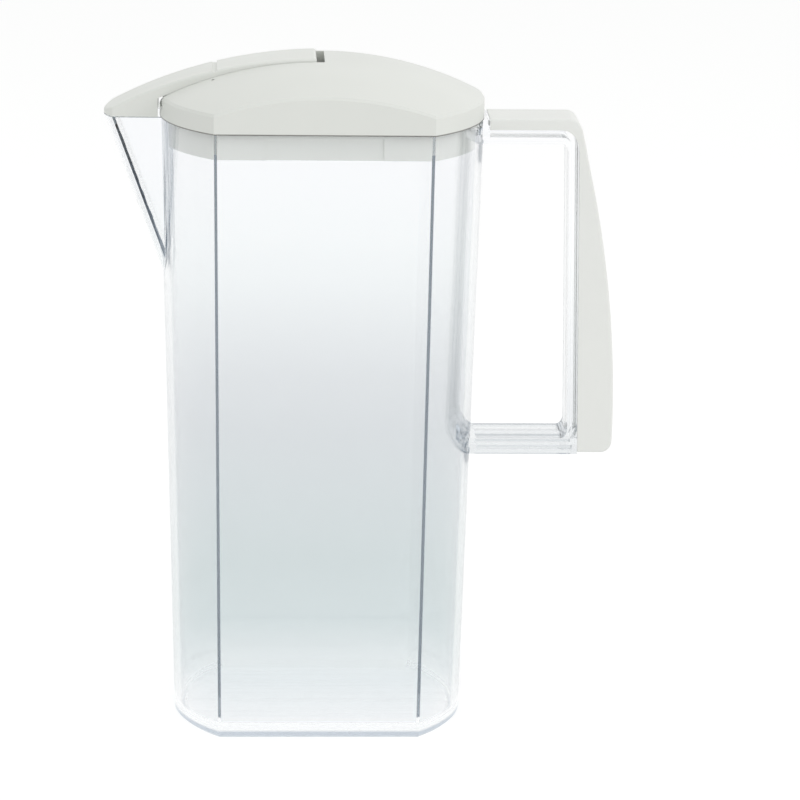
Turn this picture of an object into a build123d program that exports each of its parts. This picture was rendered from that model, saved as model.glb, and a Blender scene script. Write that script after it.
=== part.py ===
"""Serving pitcher: a clear jug with a moulded-in spout and handle frame, a white grip cover,
a white domed lid that plugs into the rim, and a white pour flap that rocks in the lid.

The frame has +Z up and the spout towards -X, and its origin is the middle of the jug's base."""

import math
import os

from build123d import *

# Jug, in millimetres. Its plan is two flat panels joined by two bowed ends.
RIM_HEIGHT = 225.0
RIM_LENGTH = 117.8
RIM_DEPTH = 90.4
RIM_PANEL = 78.2  # length of a flat panel at the rim
DRAFT = 1.4  # degrees that every side leans out
WALL = 2.6
FLOOR = 3.2
FLOOR_BEVEL = 2.2
FOOT_BEVEL = 1.0

# Spout: a slanted channel with flat sides and a blunt bowed nose
SPOUT_REACH = 79.0  # from the middle of the jug to the tip, at the rim
SPOUT_WIDTH = 20.4
SPOUT_WALL = 2.0
NOSE_BOW = 3.2
SPOUT_FOOT = 166.5  # height at which the keel runs into the jug

# Handle frame, an I-section moulded with the jug. Its offsets start at the finger gap's edge.
GAP_TOP = 216.2
GAP_FOOT = 106.4
GRIP_TOP_X = 86.2
GRIP_FOOT_X = 88.7
GAP_ROUND = 3.5
HANDLE_WIDTH = 22.0
FLANGE_THICK = 2.6
RIB_THICK = 5.0
GROOVE_OUT = 5.2  # where the groove beside the flange ends and the cover begins
BEAM_OUT = 6.5  # outer edge of the beam that the cover snaps over, on the grip
ARM_BOTTOM = 100.4
ARM_SKIN = 1.8  # thickness of the lower arm's bottom flange
BOSS_END = 60.5  # where the clear boss at the rim ends and the cover starts

# Grip cover
COVER_RISE = 0.4  # how far the cover stands above the rim
COVER_FOOT_X = 108.9
COVER_BOTTOM = 101.0
COVER_BOW = 360.0
COVER_BOW_Z = 115.0
COVER_SKIN = 1.5
COVER_SIDE = 2.0
COVER_GAP = 0.12
SHOULDER = 6.5
HEEL = 4.5
COVER_EDGE = 0.8

# Lid
LID_CROWN = 248.5
CROWN_RADIUS = 120.0
LID_WALL = 2.0
LID_EDGE = 0.8
FLANGE = 2.0
SKIRT_DEPTH = 9.2
SKIRT_WALL = 1.8
SKIRT_GAP = 0.3
POUR_GAP = 29.0  # width of the gap in the skirt in front of the spout
PANEL_RECESS = 0.7
PANEL_LENGTH = 42.0
PANEL_TOP = 1.4  # distance of the recess in the skirt below the rim

# Pour flap and its well in the lid
FLAP_REAR_X = -2.3
FLAP_REAR_WIDTH = 24.8
FLAP_TOP = 249.1
FLAP_RADIUS = 153.0
FLAP_WALL = 1.8
FLAP_SIDE = 1.6
FLAP_SKIRT = 4.0
FLAP_EDGE = 1.0
NOSE_GAP = 0.5  # between the flap's nose and the end of the lid
SPOUT_CLEAR = 0.35  # between the closed flap and the spout's rim
WELL_GAP = 0.3
WELL_END_X = 0.6
WELL_WALL = 2.0
WELL_FLOOR = 1.8
WELL_REAR_Z = 237.0
WELL_MOUTH_Z = 229.0
PIVOT_X = -39.1
PIVOT_Z = 239.5
PIN_RADIUS = 1.5
PIN_GAP = 0.06
PIN_REACH = 1.7
EAR_RADIUS = 3.3
NOTCH_WIDTH = 1.6
NOTCH_DEPTH = 0.7


bow_rise = RIM_LENGTH / 2 - RIM_PANEL / 2
bow_radius = (bow_rise**2 + (RIM_DEPTH / 2) ** 2) / (2 * bow_rise)
bow_centre = RIM_LENGTH / 2 - bow_radius


def plan(height, inset):
    """Corner, depth and end of the jug's plan at a height, drawn in by an inset."""
    drawn = inset + (RIM_HEIGHT - height) * math.tan(math.radians(DRAFT))
    depth = RIM_DEPTH / 2 - drawn
    corner = bow_centre + math.sqrt((bow_radius - drawn) ** 2 - depth**2)
    return corner, depth, RIM_LENGTH / 2 - drawn


def plan_sketch(height, inset):
    """The plan as a sketch on its own level: two panels and two bowed ends."""
    corner, depth, end = plan(height, inset)
    with BuildSketch(Plane.XY.offset(height)) as section:
        with BuildLine():
            Line((-corner, -depth), (corner, -depth))
            ThreePointArc((corner, -depth), (end, 0), (corner, depth))
            Line((corner, depth), (-corner, depth))
            ThreePointArc((-corner, depth), (-end, 0), (-corner, -depth))
        make_face()
    return section.sketch


def drafted(foot, top, inset):
    """A solid that fills the drafted plan between two heights: a slab cut by two cones."""
    low = plan(foot, inset)
    high = plan(top, inset)
    with BuildPart() as solid:
        with BuildSketch(Plane.YZ):
            with BuildLine():
                Polyline((-low[1], foot), (low[1], foot), (high[1], top), (-high[1], top), close=True)
            make_face()
        extrude(amount=RIM_LENGTH, both=True)
        for centre in (-bow_centre, bow_centre):
            with Locations((centre, 0, (foot + top) / 2)):
                Cone(low[2] - bow_centre, high[2] - bow_centre, top - foot, mode=Mode.INTERSECT)
    return solid.part


def nose_sketch(inset):
    """The spout's plan at the rim: flat sides that run back into the jug, and a bowed nose."""
    half = SPOUT_WIDTH / 2 - inset
    tip = -SPOUT_REACH + inset
    shoulder = tip + NOSE_BOW
    back = -plan(RIM_HEIGHT, WALL)[0]
    with BuildSketch(Plane.XY.offset(RIM_HEIGHT)) as section:
        with BuildLine():
            Polyline((shoulder, -half), (back, -half), (back, half), (shoulder, half))
            ThreePointArc((shoulder, half), (tip, 0), (shoulder, -half))
        make_face()
    return section.sketch


# Jug body, with the cavity cut out last
keel_run = (SPOUT_REACH - plan(SPOUT_FOOT, 0)[2]) / (RIM_HEIGHT - SPOUT_FOOT)
keel_fall = Vector(keel_run, 0, -1).normalized()
keel_length = (RIM_HEIGHT - SPOUT_FOOT + SPOUT_WALL) / abs(keel_fall.Z)
handle_root = plan(0, WALL)[2]
grip_lean = (GRIP_FOOT_X - GRIP_TOP_X) / (GAP_TOP - GAP_FOOT)


def grip_area(top, side, foot):
    """Side view of the area inside an edge that lies outside the finger gap by three offsets."""
    corners = [
        (handle_root, GAP_TOP + top),
        (GRIP_TOP_X + side - grip_lean * top, GAP_TOP + top),
        (GRIP_FOOT_X + side + grip_lean * foot, GAP_FOOT - foot),
        (handle_root, GAP_FOOT - foot),
    ]
    rounds = [GAP_ROUND + side, GAP_ROUND + min(side, foot)]
    with BuildSketch(Plane.XZ) as section:
        with BuildLine():
            FilletPolyline(*corners, radius=rounds)
            Line(corners[-1], corners[0])
        make_face()
    return section.sketch


cover_top = RIM_HEIGHT + COVER_RISE
beam_top = cover_top - COVER_SKIN - GAP_TOP
beam_width = HANDLE_WIDTH - 2 * COVER_SIDE - 2 * COVER_GAP
flange_foot = GAP_FOOT - FLANGE_THICK
arm_end = GRIP_FOOT_X + GROOVE_OUT - COVER_GAP

with BuildPart() as handle:
    extrude(grip_area(FLANGE_THICK, FLANGE_THICK, FLANGE_THICK), HANDLE_WIDTH / 2, both=True)
    extrude(grip_area(beam_top, BEAM_OUT, FLANGE_THICK), RIB_THICK / 2, both=True)
    beam = grip_area(beam_top, BEAM_OUT, FLANGE_THICK)
    beam -= grip_area(GROOVE_OUT + COVER_GAP, GROOVE_OUT, FLANGE_THICK)
    extrude(beam, beam_width / 2, both=True)
    with BuildSketch(Plane.XZ):
        with Locations((handle_root, ARM_BOTTOM)):
            arm_size = (arm_end - handle_root, GAP_FOOT - ARM_BOTTOM)
            Rectangle(*arm_size, align=(Align.MIN, Align.MIN))
    extrude(amount=HANDLE_WIDTH / 2, both=True)
    with BuildSketch(Plane.XZ):
        with Locations((handle_root, GAP_TOP)):
            boss_size = (BOSS_END - handle_root, RIM_HEIGHT - GAP_TOP)
            Rectangle(*boss_size, align=(Align.MIN, Align.MIN))
    extrude(amount=HANDLE_WIDTH / 2, both=True)
    extrude(grip_area(0, 0, 0), HANDLE_WIDTH, both=True, mode=Mode.SUBTRACT)
    recess_start = plan(ARM_BOTTOM, 0)[2] + ARM_SKIN
    with BuildSketch(Plane.XZ) as arm_recess:
        with Locations((recess_start, ARM_BOTTOM + ARM_SKIN)):
            recess_size = (arm_end - FLANGE_THICK - recess_start, flange_foot - ARM_BOTTOM - ARM_SKIN)
            Rectangle(*recess_size, align=(Align.MIN, Align.MIN))
    for side in (-1, 1):
        plate = extrude(arm_recess.sketch, HANDLE_WIDTH / 2, both=True, mode=Mode.PRIVATE)
        keep = side * (HANDLE_WIDTH / 2 + RIB_THICK / 2)
        add(plate.moved(Location((0, keep, 0))), mode=Mode.SUBTRACT)


drafted_outside = drafted(0, RIM_HEIGHT, 0)
drafted_inside = drafted(FLOOR, RIM_HEIGHT, WALL)

with BuildPart() as cavity:
    add(drafted_inside)
    chamfer(cavity.faces().sort_by(Axis.Z)[0].edges(), FLOOR_BEVEL)

with BuildPart() as jug:
    add(drafted_outside)
    chamfer(jug.faces().sort_by(Axis.Z)[0].edges(), FOOT_BEVEL)
    extrude(nose_sketch(0), amount=keel_length, dir=keel_fall)
    add(handle.part)
    add(cavity.part, mode=Mode.SUBTRACT)
    extrude(nose_sketch(SPOUT_WALL), amount=keel_length, dir=keel_fall, mode=Mode.SUBTRACT)


# Grip cover, a shell that snaps over the frame's beam
def cover_side(inset, root):
    """Side view of the cover's outside, drawn in by an inset, from its root to its bow."""
    top = cover_top - inset
    foot = COVER_BOTTOM + inset
    bow = COVER_BOW - inset
    levels = (top, (top + foot) / 2, foot)
    centre = COVER_FOOT_X - COVER_BOW
    bowed = [(centre + math.sqrt(bow**2 - (z - COVER_BOW_Z) ** 2), z) for z in levels]
    with BuildSketch(Plane.XZ) as section:
        with BuildLine():
            Polyline(bowed[2], (root, foot), (root, top), bowed[0])
            ThreePointArc(*bowed)
        make_face()
        fillet(section.vertices().sort_by_distance((bowed[0][0], top))[0], SHOULDER - inset)
        fillet(section.vertices().sort_by_distance((bowed[2][0], foot))[0], HEEL - inset)
    return section.sketch


def cover_edge_area(top, side):
    """Side view of all that lies inside the cover's edge, down past its foot."""
    foot = GAP_FOOT - COVER_BOTTOM + COVER_SKIN
    corners = [
        (handle_root, GAP_TOP + top),
        (GRIP_TOP_X + side - grip_lean * top, GAP_TOP + top),
        (GRIP_FOOT_X + side + grip_lean * foot, GAP_FOOT - foot),
    ]
    with BuildSketch(Plane.XZ) as section:
        with BuildLine():
            FilletPolyline(*corners, radius=GAP_ROUND + side)
            Polyline(corners[2], (handle_root, GAP_FOOT - foot), corners[0])
        make_face()
    return section.sketch


with BuildPart() as grip_cover:
    extrude(cover_side(0, BOSS_END), HANDLE_WIDTH / 2, both=True)
    rims = grip_cover.faces().filter_by(Axis.Y).edges()
    fillet(rims.filter_by(lambda edge: edge.center().X > BOSS_END + SHOULDER), COVER_EDGE)
    extrude(cover_edge_area(GROOVE_OUT, GROOVE_OUT), HANDLE_WIDTH, both=True, mode=Mode.SUBTRACT)
    hollow_half = HANDLE_WIDTH / 2 - COVER_SIDE
    extrude(cover_side(COVER_SKIN, handle_root), hollow_half, both=True, mode=Mode.SUBTRACT)


# Pour flap, shared side and plan views
nose_tip = -SPOUT_REACH
strip_taper = (FLAP_REAR_WIDTH - SPOUT_WIDTH) / 2 / (FLAP_REAR_X - nose_tip - NOSE_BOW)
lid_end = plan(RIM_HEIGHT, 0)[2]
crown_centre = LID_CROWN - CROWN_RADIUS
flap_centre = FLAP_TOP - FLAP_RADIUS


def strip_sketch(grow, rear, front):
    """Plan of the tapered strip on the base plane, made wider and cut square at both ends."""
    rear_half = FLAP_REAR_WIDTH / 2 + grow + strip_taper * (rear - FLAP_REAR_X)
    front_half = FLAP_REAR_WIDTH / 2 + grow + strip_taper * (front - FLAP_REAR_X)
    with BuildSketch() as section:
        with BuildLine():
            outline = [(rear, -rear_half), (rear, rear_half), (front, front_half), (front, -front_half)]
            Polyline(*outline, close=True)
        make_face()
    return section.sketch


def flap_plan(inset):
    """Plan of the flap with its bowed nose, drawn in by an inset."""
    rear = FLAP_REAR_X - inset
    tip = nose_tip + inset
    shoulder = tip + NOSE_BOW
    rear_half = FLAP_REAR_WIDTH / 2 - inset
    nose_half = SPOUT_WIDTH / 2 - inset
    with BuildSketch() as section:
        with BuildLine():
            Polyline((shoulder, nose_half), (rear, rear_half), (rear, -rear_half), (shoulder, -nose_half))
            ThreePointArc((shoulder, -nose_half), (tip, 0), (shoulder, nose_half))
        make_face()
    return section.sketch


def bow(x, drop):
    """A point on the flap's bowed top at a place along it, dropped towards the bow's centre."""
    return x, flap_centre + math.sqrt((FLAP_RADIUS - drop) ** 2 - x**2)


def bow_arc(start, end, drop):
    """The stretch of the flap's bow between two places along it."""
    return ThreePointArc(bow(start, drop), bow((start + end) / 2, drop), bow(end, drop))


# Lid
skirt_inset = WALL + SKIRT_GAP
skirt_foot = RIM_HEIGHT - SKIRT_DEPTH
skirt_outside = drafted(skirt_foot, RIM_HEIGHT, skirt_inset)
skirt_inside = drafted(skirt_foot, RIM_HEIGHT, skirt_inset + SKIRT_WALL)
ceiling = LID_CROWN - crown_centre


def under_crown(drop):
    """Cut the open solid back to the ball of the domed crown, less a drop."""
    with Locations((0, 0, crown_centre)):
        Sphere(CROWN_RADIUS - drop, mode=Mode.INTERSECT)


with BuildPart() as lid_hollow:
    extrude(plan_sketch(RIM_HEIGHT + FLANGE, LID_WALL), ceiling)
    under_crown(LID_WALL)
    add(skirt_inside)
    extrude(plan_sketch(RIM_HEIGHT, skirt_inset + SKIRT_WALL), FLANGE)

with BuildPart() as well:
    well_rear = WELL_END_X + WELL_WALL
    with BuildSketch(Plane.XZ):
        with BuildLine():
            floor_edge = Line((WELL_END_X, WELL_REAR_Z - WELL_FLOOR), (-lid_end, WELL_MOUTH_Z - WELL_FLOOR))
            Polyline(floor_edge @ 1, (-lid_end, LID_CROWN), (well_rear, LID_CROWN))
            Polyline((well_rear, LID_CROWN), (well_rear, WELL_REAR_Z - WELL_FLOOR), floor_edge @ 0)
        make_face()
    extrude(amount=FLAP_REAR_WIDTH, both=True)
    walls = strip_sketch(WELL_GAP + WELL_WALL, well_rear, -lid_end)
    extrude(walls, LID_CROWN + CROWN_RADIUS, mode=Mode.INTERSECT)
    under_crown(LID_WALL / 2)
    extrude(plan_sketch(RIM_HEIGHT, LID_WALL / 2), ceiling, mode=Mode.INTERSECT)

with BuildPart() as well_cut:
    with BuildSketch(Plane.XZ):
        with BuildLine():
            deck = Line((WELL_END_X, WELL_REAR_Z), (-lid_end, WELL_MOUTH_Z))
            past_end = -lid_end - WELL_WALL
            Polyline(deck @ 1, (past_end, WELL_MOUTH_Z), (past_end, LID_CROWN + 1), (WELL_END_X, LID_CROWN + 1))
            Line((WELL_END_X, LID_CROWN + 1), deck @ 0)
        make_face()
    extrude(amount=FLAP_REAR_WIDTH, both=True)
    opening = strip_sketch(WELL_GAP, WELL_END_X, past_end)
    extrude(opening, LID_CROWN + CROWN_RADIUS, mode=Mode.INTERSECT)

with BuildPart() as lid:
    extrude(plan_sketch(RIM_HEIGHT, 0), ceiling)
    add(skirt_outside)
    under_crown(0)
    crown = lid.faces().sort_by(Axis.Z)[-1]
    chamfer(crown.edges(), LID_EDGE)
    add(lid_hollow.part, mode=Mode.SUBTRACT)
    add(well.part)
    add(well_cut.part, mode=Mode.SUBTRACT)
    with BuildSketch(Plane.XY.offset(RIM_HEIGHT)):
        with Locations((-lid_end, 0)):
            Rectangle(lid_end, POUR_GAP)
    extrude(amount=-SKIRT_DEPTH - 1, mode=Mode.SUBTRACT)
    with BuildSketch(Plane.XZ) as panel_cut:
        with Locations((0, RIM_HEIGHT - PANEL_TOP)):
            Rectangle(PANEL_LENGTH, SKIRT_DEPTH, align=(Align.CENTER, Align.MAX))
    for side in (-1, 1):
        face = side * (plan(RIM_HEIGHT, skirt_inset)[1] - PANEL_RECESS)
        plate = extrude(panel_cut.sketch, side * -RIM_HEIGHT / 10, mode=Mode.PRIVATE)
        add(Pos(0, face, 0) * plate, mode=Mode.SUBTRACT)
    with Locations(Pos(PIVOT_X, 0, PIVOT_Z) * Rot(90, 0, 0)):
        Cylinder(PIN_RADIUS + PIN_GAP, FLAP_REAR_WIDTH + 2 * WELL_GAP + 2 * WELL_WALL, mode=Mode.SUBTRACT)


# Pour flap
closed_floor = RIM_HEIGHT + SPOUT_CLEAR
nose_back = -lid_end - NOSE_GAP
past_nose = nose_tip - SPOUT_CLEAR

pivot_half = FLAP_REAR_WIDTH / 2 + strip_taper * (PIVOT_X - FLAP_REAR_X)
over_lid = LID_CROWN + CROWN_RADIUS

with BuildPart() as flap_hollow:
    with BuildSketch(Plane.XZ):
        with BuildLine():
            roof = bow_arc(past_nose, FLAP_REAR_X, FLAP_WALL)
            below = RIM_HEIGHT - FLAP_RADIUS / 10
            Polyline(roof @ 1, (FLAP_REAR_X, below), (past_nose, below), roof @ 0)
        make_face()
    extrude(amount=FLAP_REAR_WIDTH, both=True)
    extrude(flap_plan(FLAP_SIDE), over_lid, mode=Mode.INTERSECT)

with BuildPart() as pour_flap:
    with BuildSketch(Plane.XZ):
        with BuildLine():
            top = bow_arc(past_nose, FLAP_REAR_X, 0)
            under = bow_arc(FLAP_REAR_X, nose_back, FLAP_SKIRT)
            Line(top @ 1, under @ 0)
            Polyline(under @ 1, (nose_back, closed_floor), (past_nose, closed_floor), top @ 0)
        make_face()
        with Locations((PIVOT_X, PIVOT_Z)):
            Circle(EAR_RADIUS)
    extrude(amount=FLAP_REAR_WIDTH, both=True)
    extrude(flap_plan(0), over_lid, mode=Mode.INTERSECT)
    bowed_top = pour_flap.faces().filter_by(GeomType.CYLINDER).sort_by(SortBy.AREA)[-1]
    fillet(bowed_top.edges(), FLAP_EDGE)
    add(flap_hollow.part, mode=Mode.SUBTRACT)
    for side in (-1, 1):
        pin_middle = side * (pivot_half + (PIN_REACH - FLAP_SIDE) / 2)
        with Locations(Pos(PIVOT_X, pin_middle, PIVOT_Z) * Rot(90, 0, 0)):
            Cylinder(PIN_RADIUS, FLAP_SIDE + PIN_REACH)
    with BuildSketch(Plane.XZ):
        with Locations((PIVOT_X, bow(PIVOT_X, NOTCH_DEPTH)[1])):
            Rectangle(NOTCH_WIDTH, FLAP_WALL, align=(Align.CENTER, Align.MIN))
    extrude(amount=FLAP_REAR_WIDTH, both=True, mode=Mode.SUBTRACT)

os.makedirs("parts", exist_ok=True)
for name, solid in (("jug", jug), ("grip_cover", grip_cover), ("lid", lid), ("pour_flap", pour_flap)):
    solid.part.label = name
    export_step(solid.part, f"parts/{name}.step")
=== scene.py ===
import math

import bmesh
import bpy
from mathutils import Matrix, Vector


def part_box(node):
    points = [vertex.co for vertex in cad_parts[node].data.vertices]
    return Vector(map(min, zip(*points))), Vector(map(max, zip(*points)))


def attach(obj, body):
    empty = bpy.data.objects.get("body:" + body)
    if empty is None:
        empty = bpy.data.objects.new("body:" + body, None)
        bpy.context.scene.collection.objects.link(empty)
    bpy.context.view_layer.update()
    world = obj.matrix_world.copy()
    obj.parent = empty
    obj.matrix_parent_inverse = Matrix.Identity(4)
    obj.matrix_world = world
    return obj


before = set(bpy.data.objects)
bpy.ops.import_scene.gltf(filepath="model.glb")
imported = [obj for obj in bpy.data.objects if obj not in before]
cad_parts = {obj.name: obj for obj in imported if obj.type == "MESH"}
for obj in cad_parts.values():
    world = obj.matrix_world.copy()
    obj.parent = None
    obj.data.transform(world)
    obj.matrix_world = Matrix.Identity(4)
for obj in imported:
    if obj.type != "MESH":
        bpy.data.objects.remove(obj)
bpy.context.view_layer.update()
scene = bpy.context.scene

# Camera, at the photograph's own viewing angle. It stands nearly square to the front panel,
# a little above the lid, with a long lens, so the panel's edges stay almost upright.
camera_place = Vector((-0.034617, -1.417333, 0.474873))
camera_turn = math.radians(-2.604)
camera_rise = math.radians(14.12)
camera_roll = math.radians(0.842)
sensor_width = 36.0
focal_pixels = 3954.3
photo_width = 800

back = Vector((
    math.sin(camera_turn) * math.cos(camera_rise),
    -math.cos(camera_turn) * math.cos(camera_rise),
    math.sin(camera_rise),
))
right = (-back).cross(Vector((0, 0, 1))).normalized()
up = right.cross(-back)
rolled_right = math.cos(camera_roll) * right + math.sin(camera_roll) * up
rolled_up = -math.sin(camera_roll) * right + math.cos(camera_roll) * up
camera_data = bpy.data.cameras.new("photo_camera")
camera_data.sensor_width = sensor_width
camera_data.lens = focal_pixels / photo_width * sensor_width
camera = bpy.data.objects.new("photo_camera", camera_data)
axes = Matrix((rolled_right, rolled_up, back)).transposed().to_4x4()
camera.matrix_world = Matrix.Translation(camera_place) @ axes
scene.collection.objects.link(camera)
scene.camera = camera


# Studio: a white sweep and a pale floor under a large soft light overhead and one on each
# side. The clear jug is seen against the white, and what it bends past the white shows grey.
# The fill light is weaker from the left, as the shade on the lid's left end shows.
class Finish:
    """A node material, or the world's, built from plain calls."""

    def __init__(self, holder):
        holder.use_nodes = True
        self.tree = holder.node_tree
        self.tree.nodes.clear()

    def node(self, kind, settings=None, **sockets):
        """Add a node: its settings first, then a value or a link for each named socket."""
        made = self.tree.nodes.new("ShaderNode" + kind)
        for name, value in (settings or {}).items():
            if name == "stops":
                self.stops(made.color_ramp, value)
            else:
                setattr(made, name, value)
        for name, value in sockets.items():
            self.fill(self.socket(made, name), value)
        return made

    @staticmethod
    def stops(ramp, values):
        while len(ramp.elements) < len(values):
            ramp.elements.new(1.0)
        for element, (place, colour) in zip(ramp.elements, values):
            element.position = place
            element.color = (*colour, 1.0)

    @staticmethod
    def socket(made, name):
        """A socket by its label, with spaces as underscores, or by its number after an s."""
        if name[0] == "s" and name[1:].isdigit():
            return made.inputs[int(name[1:])]
        return made.inputs[name.replace("_", " ")]

    def fill(self, socket, value):
        if isinstance(value, Value):
            self.tree.links.new(value.socket, socket)
        elif isinstance(value, bpy.types.NodeSocket):
            self.tree.links.new(value, socket)
        elif isinstance(value, tuple) and len(value) == 3 and socket.type == "RGBA":
            socket.default_value = (*value, 1.0)
        else:
            socket.default_value = value

    def value(self, socket):
        return Value(self, socket)


class Value:
    """One number that changes over a surface, for sums written as Python expressions."""

    def __init__(self, finish, socket):
        self.finish = finish
        self.socket = socket

    def maths(self, operation, first, second=0.0, clamp=False):
        settings = {"operation": operation, "use_clamp": clamp}
        made = self.finish.node("Math", settings, s0=first, s1=second)
        return Value(self.finish, made.outputs[0])

    def __add__(self, other):
        return self.maths("ADD", self, other)

    def __radd__(self, other):
        return self.maths("ADD", other, self)

    def __sub__(self, other):
        return self.maths("SUBTRACT", self, other)

    def __rsub__(self, other):
        return self.maths("SUBTRACT", other, self)

    def __mul__(self, other):
        return self.maths("MULTIPLY", self, other)

    def __truediv__(self, other):
        return self.maths("DIVIDE", self, other)

    def clamped(self):
        return self.maths("ADD", self, 0.0, clamp=True)

    def magnitude(self):
        return self.maths("ABSOLUTE", self)

    def root(self):
        return self.maths("SQRT", self)

    def larger(self, other):
        return self.maths("MAXIMUM", self, other)


white = (1.0, 1.0, 1.0)
sweep_grey = (0.44, 0.48, 0.53)
fill_strength = 0.92
fill_left = (0.66, 0.67, 0.66)
fill_span = (0.1, 0.75)  # from where to where, left to right, the fill light grows
sweep_span = (0.28, 0.60)  # how far back a direction points where the sweep starts and is white

world = bpy.data.worlds.new("studio")
scene.world = world
sky = Finish(world)
path = sky.node("LightPath")
seen = sky.value(path.outputs["Is Camera Ray"]) + path.outputs["Is Glossy Ray"]
seen = (seen + path.outputs["Is Transmission Ray"]).clamped()
facing = sky.node("TexCoord").outputs["Generated"]
away = sky.value(sky.node("SeparateXYZ", Vector=facing).outputs["Y"])
sweep = sky.node(
    "ValToRGB",
    {"stops": [(sweep_span[0], sweep_grey), (sweep_span[1], white)]},
    Fac=away,
)
straight = sky.value(path.outputs["Is Camera Ray"])
backdrop = sky.node("Mix", {"data_type": "RGBA"}, s0=straight, s6=sweep.outputs[0], s7=white)
shown = sky.node("Background", Color=backdrop.outputs[2], Strength=1.0)
across = sky.value(sky.node("SeparateXYZ", Vector=facing).outputs["X"])
soft = sky.node(
    "ValToRGB",
    {"stops": [(fill_span[0], fill_left), (fill_span[1], white)]},
    Fac=across * 0.5 + 0.5,
)
lit = sky.node("Background", Color=soft.outputs[0], Strength=fill_strength)
chosen = sky.node("MixShader", s0=seen, s1=lit.outputs[0], s2=shown.outputs[0])
sky.node("OutputWorld", Surface=chosen.outputs[0])

floor_size = 6.0
floor_white = (0.9, 0.9, 0.9)
floor_lift = 0.24  # what the floor adds towards the white of the sweep where it is seen

floor_mesh = bpy.data.meshes.new("floor")
shape = bmesh.new()
bmesh.ops.create_grid(shape, x_segments=1, y_segments=1, size=floor_size / 2)
shape.to_mesh(floor_mesh)
shape.free()
floor = bpy.data.objects.new("floor", floor_mesh)
scene.collection.objects.link(floor)
floor_material = bpy.data.materials.new("floor")
floor_mesh.materials.append(floor_material)
paint = Finish(floor_material)
path = paint.node("LightPath")
seen = paint.value(path.outputs["Is Camera Ray"]) + path.outputs["Is Glossy Ray"]
seen = (seen + path.outputs["Is Transmission Ray"]).clamped()
matt = paint.node("BsdfDiffuse", Color=floor_white)
glow = paint.node("Emission", Color=white, Strength=seen * floor_lift)
both = paint.node("AddShader", s0=matt.outputs[0], s1=glow.outputs[0])
paint.node("OutputMaterial", Surface=both.outputs[0])

lamp_aim = Vector((0.0, 0.0, 0.12))
lamps = (
    ("overhead", (0.0, -0.3, 1.6), 1.6, 3.0),
    ("left_soft", (-1.5, -1.1, 0.8), 1.1, 0.8),
    ("right_soft", (1.4, -1.2, 0.7), 1.0, 3.6),
)
for name, place, size, power in lamps:
    lamp_data = bpy.data.lights.new(name, "AREA")
    lamp_data.shape = "SQUARE"
    lamp_data.size = size
    lamp_data.energy = power
    lamp = bpy.data.objects.new(name, lamp_data)
    lamp.location = place
    lamp.rotation_euler = (lamp_aim - Vector(place)).to_track_quat("-Z", "Y").to_euler()
    scene.collection.objects.link(lamp)

scene.view_settings.view_transform = "Standard"


# Jug: one clear injection moulding in styrene plastic, with the spout and the handle's frame
# moulded in. Its faces are polished and its creases sharp. Its tint is a faint real blue, with a
# painted reflection of the grey sweep below the rim, and the near half of its foot's edge has a
# painted shade.
def dress(node, material):
    """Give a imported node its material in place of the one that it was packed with."""
    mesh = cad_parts[node].data
    mesh.materials.clear()
    mesh.materials.append(material)


# A faint real blue tint with a painted reflection of the grey sweep over it, greyest in its lower
# middle.
tints_and_painted_reflection = (
    (0.08, (0.985, 0.990, 1.000)),
    (0.24, (0.955, 0.970, 0.975)),
    (0.48, (0.825, 0.840, 0.855)),
    (0.80, (0.775, 0.820, 0.825)),
    (0.90, (0.825, 0.865, 0.875)),
    (0.97, (0.955, 0.960, 0.965)),
)  # how far below the rim, as a share of the height, and the tint there
clear_index = 1.57
clear_polish = 0.015
scuff_spread = 0.012
# Painted shade on the foot's edge, on its near half only.
painted_foot_shade = (0.34, 0.40, 0.48)
base_side = 0.0397  # half the depth of the base
bow_reach = 0.0560  # radius of the base's bowed ends
bow_shift = 0.0026  # how far past the middle a bow's centre lies
edge_fade = 0.0009
edge_height = 0.0030
near_fade = 50.0  # how fast the painted shade on the foot's edge fades from the near half to the far one, a metre
unlit_shade = (0.99, 0.995, 1.0)
# Painted shade: the creases show as grey lines through this colour.
painted_crease_grey = (0.62, 0.65, 0.68)
last_bend = 4.0  # bends after which light is let straight through a painted grey shade, so that a crease isn't black

clear = bpy.data.materials.new("clear_plastic")
resin = Finish(clear)
place = resin.node("TexCoord").outputs["Object"]
parts = resin.node("SeparateXYZ", Vector=place)
length, depth, height = [resin.value(parts.outputs[way]) for way in "XYZ"]
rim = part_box("jug")[1].z
depth_below = (rim - height) / rim
# Painted reflection: the plastic's colour turns grey below the rim by height alone.
tint_and_painted_reflection = resin.node("ValToRGB", {"stops": tints_and_painted_reflection}, Fac=depth_below.clamped())
along = length.magnitude() + bow_shift
off_bow = (along * along + depth * depth).root() - bow_reach
outward = off_bow.larger(-base_side - depth)
at_edge = (outward / edge_fade + 2.0).clamped()
at_foot = (edge_height / edge_fade - height / edge_fade).clamped()
near_side = (0.5 - depth * near_fade).clamped()
# Painted shade: the foot's edge darkens towards this colour on its near half.
tint_with_painted_foot_shade = resin.node(
    "Mix",
    {"data_type": "RGBA"},
    s0=at_edge * at_foot * near_side,
    s6=tint_and_painted_reflection.outputs[0],
    s7=painted_foot_shade,
)
ripple = resin.node("TexNoise", Vector=place, Scale=14.0, Detail=1.0)
swell = resin.node("Bump", Height=ripple.outputs["Fac"], Strength=0.012, Distance=0.002)
scuff = resin.value(resin.node("TexNoise", Vector=place, Scale=90.0, Detail=4.0).outputs["Fac"])
plastic = resin.node(
    "BsdfPrincipled",
    Base_Color=tint_with_painted_foot_shade.outputs[2],
    Roughness=clear_polish + scuff * scuff_spread,
    IOR=clear_index,
    Transmission_Weight=1.0,
    Normal=swell.outputs[0],
)
path = resin.node("LightPath")
unlit = resin.value(path.outputs["Is Shadow Ray"]) + path.outputs["Is Diffuse Ray"]
spent = resin.value(path.outputs["Ray Depth"]) - last_bend
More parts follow.
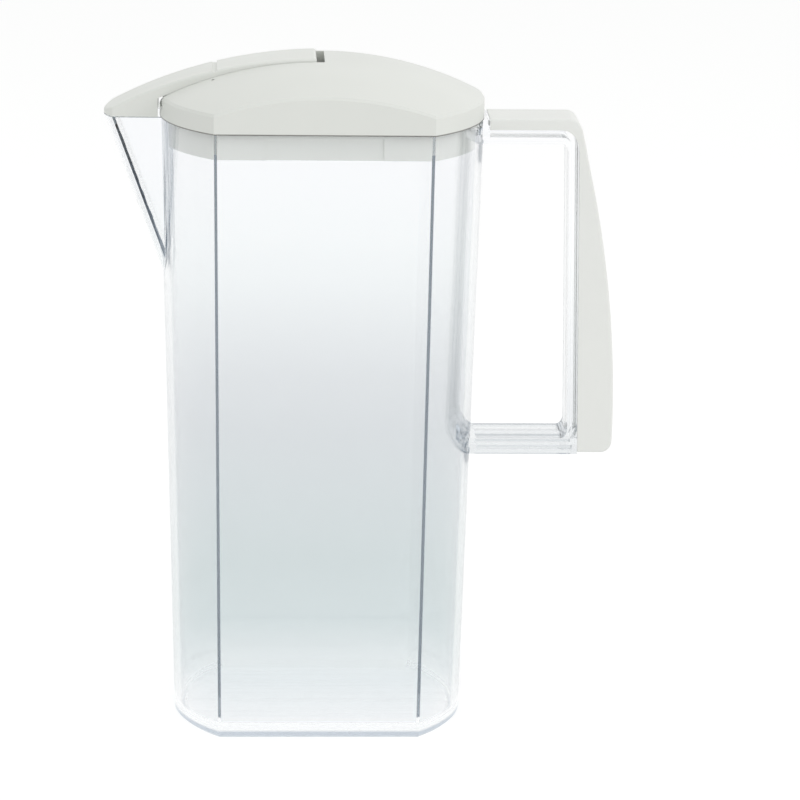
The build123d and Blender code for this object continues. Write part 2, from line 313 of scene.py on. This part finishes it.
let_by = resin.node("BsdfTransparent", Color=unlit_shade)
# Painted shade at the creases: rays past the last bend see the backdrop through a grey.
painted_crease_pass = resin.node("BsdfTransparent", Color=painted_crease_grey)
bent = resin.node("MixShader", s0=spent.clamped(), s1=plastic.outputs[0], s2=painted_crease_pass.outputs[0])
whole = resin.node("MixShader", s0=unlit.clamped(), s1=bent.outputs[0], s2=let_by.outputs[0])
resin.node("OutputMaterial", Surface=whole.outputs[0])
dress("jug", clear)


# Lid: one white moulding in polypropylene, whose skirt plugs into the jug's rim and is held by
# its fit. A dark band painted along the rim is the seam's painted shadow. Its real crown is flatter
# than the imported one's, so a cage eases the piece into that form.
def satin(name, colour, grain, seam_shadow=None):
    """Moulded plastic of one colour with a faint mottle, a satin grain and, where it seats, a painted
    seam shadow.
    """
    made = bpy.data.materials.new(name)
    skin = Finish(made)
    spot = skin.node("TexCoord").outputs["Object"]
    mottle = skin.node("TexNoise", Vector=spot, Scale=35.0, Detail=3.0)
    darker = tuple(channel * mottle_drop for channel in colour)
    hue = skin.node("Mix", {"data_type": "RGBA"}, s0=mottle.outputs["Fac"], s6=colour, s7=darker)
    if seam_shadow:
        # Painted shadow: a dark band within half a millimetre of the rim's height, where the lid meets
        # the jug.
        level = skin.value(skin.node("SeparateXYZ", Vector=spot).outputs["Z"]) - rim
        shadow_band = (seam_shadow_fade - (level / seam_shadow_height).magnitude() * seam_shadow_fade).clamped()
        hue = skin.node("Mix", {"data_type": "RGBA"}, s0=shadow_band, s6=hue.outputs[2], s7=seam_shadow)
    fine = skin.node("TexNoise", Vector=spot, Scale=grain, Detail=2.0)
    relief = skin.node("Bump", Height=fine.outputs["Fac"], Strength=0.06, Distance=0.0002)
    body = skin.node(
        "BsdfPrincipled",
        Base_Color=hue.outputs[2],
        Roughness=satin_rough + skin.value(mottle.outputs["Fac"]) * satin_spread,
        IOR=satin_index,
        Normal=relief.outputs[0],
    )
    skin.node("OutputMaterial", Surface=body.outputs[0])
    return made


def cage(name, body, low, high, axis, shifts, direction):
    """A lattice over a box whose levels along an axis are shifted in a direction."""
    form = bpy.data.lattices.new(name)
    counts = [2, 2, 2]
    counts[axis] = len(shifts)
    form.points_u, form.points_v, form.points_w = counts
    form.interpolation_type_u = "KEY_LINEAR"
    form.interpolation_type_v = "KEY_LINEAR"
    form.interpolation_type_w = "KEY_LINEAR"
    holder = bpy.data.objects.new(name, form)
    holder.location = (low + high) / 2
    holder.scale = [(high[way] - low[way]) / (counts[way] - 1) for way in range(3)]
    for point in form.points:
        level = round(point.co[axis] + (len(shifts) - 1) / 2)
        moved = Vector(point.co)
        moved[direction] += shifts[level] / holder.scale[direction]
        point.co_deform = moved
    scene.collection.objects.link(holder)
    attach(holder, body)
    return holder


def ease(node, holder):
    """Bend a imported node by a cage, without a change to its own mesh."""
    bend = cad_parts[node].modifiers.new(holder.name, "LATTICE")
    bend.object = holder


LENGTHWISE = 0
UPRIGHT = 2
satin_rough = 0.36
satin_spread = 0.12
satin_index = 1.49
mottle_drop = 0.965
fine_grain = 2600.0
lid_white = (0.80, 0.815, 0.775)
# Painted shadow of the gap between the lid and the rim.
painted_seam_shadow = (0.16, 0.155, 0.14)
seam_shadow_height = 0.0005
seam_shadow_fade = 1.5
crown_shifts = (0.0, 0.0, -0.0019)
half_length = 0.1
half_depth = 0.06

dress("lid", satin("white_lid", lid_white, fine_grain, painted_seam_shadow))
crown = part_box("lid")[1].z
crown_low = Vector((-half_length, -half_depth, 2 * rim - crown))
crown_high = Vector((half_length, half_depth, crown))
lid_form = cage("lid_form", "lid", crown_low, crown_high, UPRIGHT, crown_shifts, UPRIGHT)
ease("lid", lid_form)


# Pour flap: a hollow strip moulded in the lid's plastic, a shade paler. It snaps into the lid's
# well on two pins and rocks there, and a cage of its own keeps its bow level with the crown.
flap_white = (0.81, 0.825, 0.785)

dress("pour_flap", satin("white_flap", flap_white, fine_grain))
flap_form = cage("flap_form", "pour_flap", crown_low, crown_high, UPRIGHT, crown_shifts, UPRIGHT)
ease("pour_flap", flap_form)


# Grip cover: a white shell that snaps over the outside of the jug's handle frame. The real grip
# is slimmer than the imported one, so one cage eases the cover and the frame under it together.
cover_white = (0.86, 0.87, 0.84)
cover_grain = 1900.0
grip_start = 0.060  # just past the jug's end, where the handle begins
grip_shifts = (0.0, 0.0018, 0.0036, 0.0004, -0.0010)

dress("grip_cover", satin("white_cover", cover_white, cover_grain))
grip_low = Vector((grip_start, -half_depth, 0.0))
grip_high = Vector((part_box("grip_cover")[1].x, half_depth, crown))
handle_form = cage("handle_form", "jug", grip_low, grip_high, LENGTHWISE, grip_shifts, LENGTHWISE)
ease("jug", handle_form)
ease("grip_cover", handle_form)
